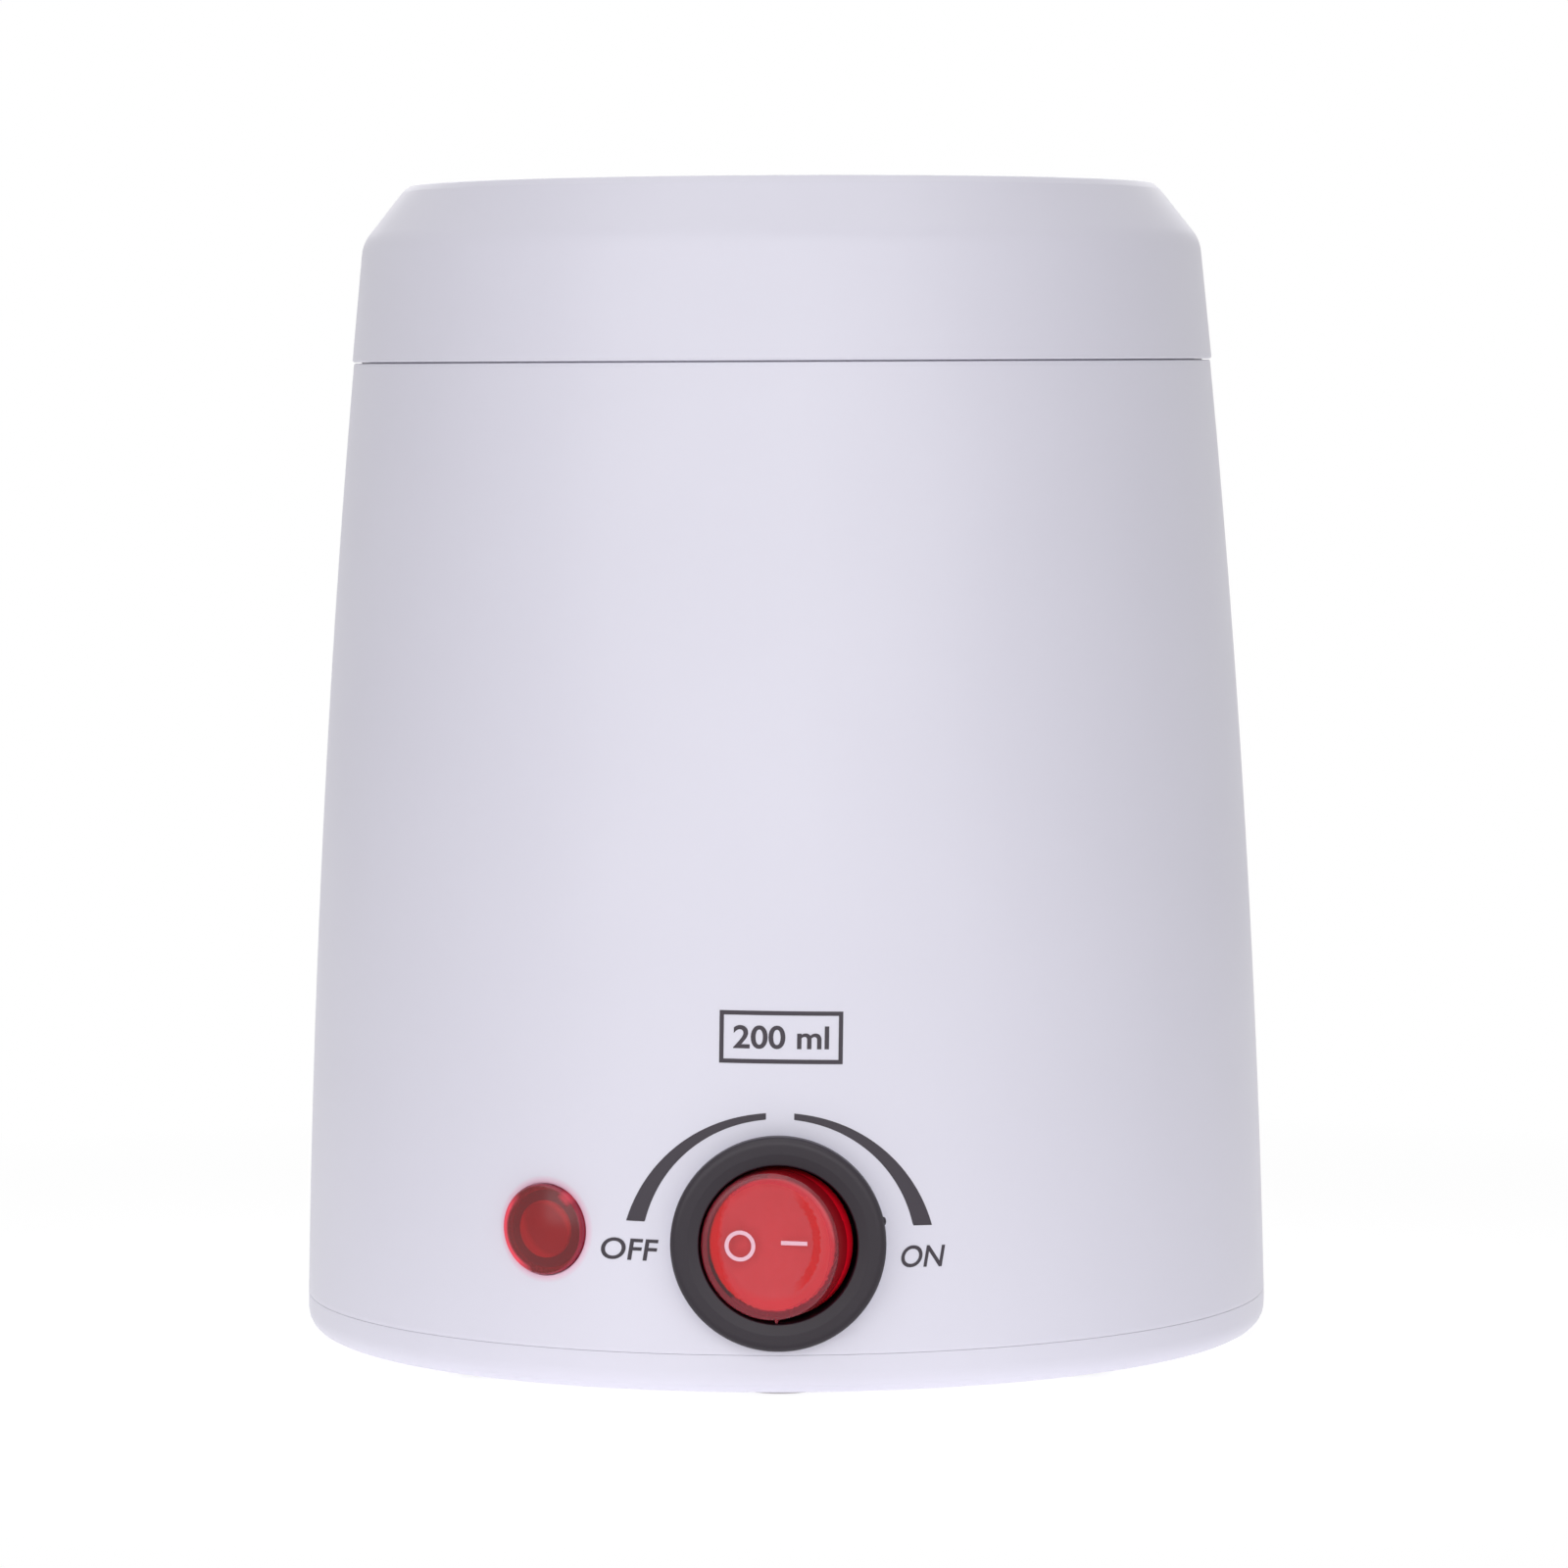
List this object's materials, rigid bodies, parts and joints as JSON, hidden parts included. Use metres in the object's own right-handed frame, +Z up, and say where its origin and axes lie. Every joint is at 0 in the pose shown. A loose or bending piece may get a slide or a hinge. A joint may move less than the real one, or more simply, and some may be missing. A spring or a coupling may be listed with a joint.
{
  "type": "wax warmer",
  "caption": "Small electric wax warmer: tapering white body with a top collar, round red rocker switch, pilot lamp and a lift-out metal pot with a folding bail handle.",
  "frame": {"origin": "middle of the plane that the feet stand on", "axes": "+Z up along the body's axis; the switch faces -Y (front); +X is to the right as seen from the front"},
  "size_m": [0.1094, 0.1185, 0.1313],
  "materials": {
    "lavender_plastic": "satin-gloss moulded ABS, lavender white",
    "black_nylon": "satin black moulded nylon",
    "red_polycarbonate": "translucent red polycarbonate, polished",
    "lens_polycarbonate": "clear red polycarbonate, polished",
    "grey_rubber": "moulded rubber",
    "zinc_steel": "bright zinc-plated steel",
    "aluminium": "spun and drawn aluminium, satin",
    "stainless_wire": "drawn stainless wire",
    "brass": "stamped and turned brass",
    "white_nylon": "natural white nylon",
    "black_phenolic": "moulded phenolic",
    "heater_jacket": "mica strip in a dull steel jacket",
    "glass_fibre": "woven glass fibre",
    "silicone": "silicone",
    "lamp_glass": "clear glass",
    "ceramic": "lacquered ceramic resistor body",
    "brown_sheath": "silicone rubber lead sheath, brown",
    "blue_sheath": "silicone rubber lead sheath, blue",
    "green_sheath": "silicone rubber lead sheath, green",
    "white_sheath": "silicone rubber lead sheath, white"
  },
  "bodies": {
    "housing": {"outer_shell": "lavender_plastic", "top_collar": "lavender_plastic", "base_cover": "lavender_plastic", "rubber_feet": "grey_rubber", "base_screws": "zinc_steel", "collar_screws": "zinc_steel", "heating_well": "aluminium", "well_seal": "silicone", "well_screws": "zinc_steel", "heater_band": "heater_jacket", "band_clamp": "zinc_steel", "clamp_bolt": "zinc_steel", "clamp_nut": "zinc_steel", "insulation_sleeve": "glass_fibre", "thermostat_cap": "aluminium", "thermostat_body": "black_phenolic", "thermostat_blades": "brass", "thermostat_bracket": "zinc_steel", "thermostat_screws": "zinc_steel", "fuse_sleeve": "glass_fibre", "thermal_fuse": "brass", "fuse_clip": "zinc_steel", "fuse_clip_screw": "zinc_steel", "earth_tag": "brass", "switch_housing": "black_nylon", "switch_blades": "brass", "spade_connectors": "white_nylon", "pilot_lens": "lens_polycarbonate", "pilot_clip": "zinc_steel", "pilot_bulb": "lamp_glass", "pilot_resistor": "ceramic", "cord_gland": "black_nylon", "terminal_block": "white_nylon", "block_inserts": "brass", "block_screws": "zinc_steel", "block_fixing_screw": "zinc_steel", "crimp_caps": "white_nylon", "live_leads": "brown_sheath", "neutral_leads": "blue_sheath", "earth_lead": "green_sheath", "pilot_leads": "white_sheath"},
    "rocker": {"switch_rocker": "red_polycarbonate", "rocker_plunger": "brass", "plunger_spring": "zinc_steel", "rocker_lamp": "lamp_glass"},
    "lever": {"contact_lever": "brass"},
    "pot": {"wax_pot": "aluminium", "bail_lugs": "aluminium"},
    "bail": {"bail_handle": "stainless_wire"}
  },
  "joints": [
    {"name": "rocker_tilt", "type": "hinge", "parent": "housing", "child": "rocker", "pos_m": [0, -0.05358, 0.0174], "axis": [0, 0, 1], "range_deg": [0, 24]},
    {"name": "lever_tilt", "type": "hinge", "parent": "housing", "child": "lever", "pos_m": [0, -0.04248, 0.0174], "axis": [0, 0, 1], "range_deg": [-16, 0]},
    {"name": "pot_lift", "type": "slide", "parent": "housing", "child": "pot", "axis": [0, 0, 1], "range_m": [0, 0.075]},
    {"name": "bail_swing", "type": "hinge", "parent": "pot", "child": "bail", "pos_m": [0, 0, 0.1296], "axis": [-1, 0, 0], "range_deg": [0, 182.6]}
  ],
  "couplings": [
    {"joint": "lever_tilt", "follows": "rocker_tilt", "ratio": -0.66667}
  ]
}
